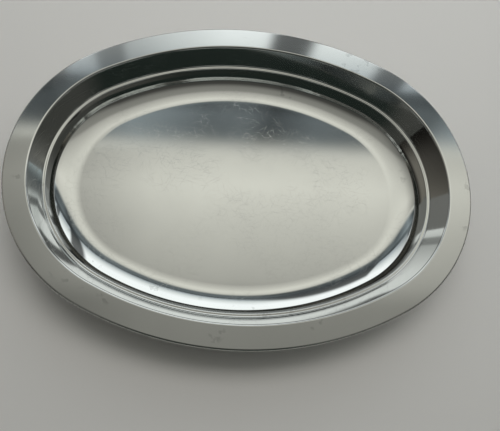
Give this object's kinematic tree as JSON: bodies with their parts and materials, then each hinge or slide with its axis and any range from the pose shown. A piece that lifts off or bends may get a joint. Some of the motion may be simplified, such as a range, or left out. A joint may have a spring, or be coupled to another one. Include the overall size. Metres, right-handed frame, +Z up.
{
  "type": "oval serving tray",
  "caption": "Oval stainless-steel serving tray with a wide flat rim, a steep stepped wall, a shallow dished floor and an outer edge rolled round a wire.",
  "frame": {"origin": "on the table, at the middle of the tray's flat underside", "axes": "+X along the tray's length, +Y across it, +Z up out of the food well"},
  "size_m": [0.42, 0.303, 0.0437],
  "materials": {
    "stainless_sheet": "polished rim, wall and ledge, satin floor inside a thin line; fine scratches and smudges from use",
    "steel_wire": "plain drawn wire, hidden in the rolled edge"
  },
  "bodies": {
    "root": {"tray_body": "stainless_sheet", "rim_wire": "steel_wire"}
  },
  "joints": []
}
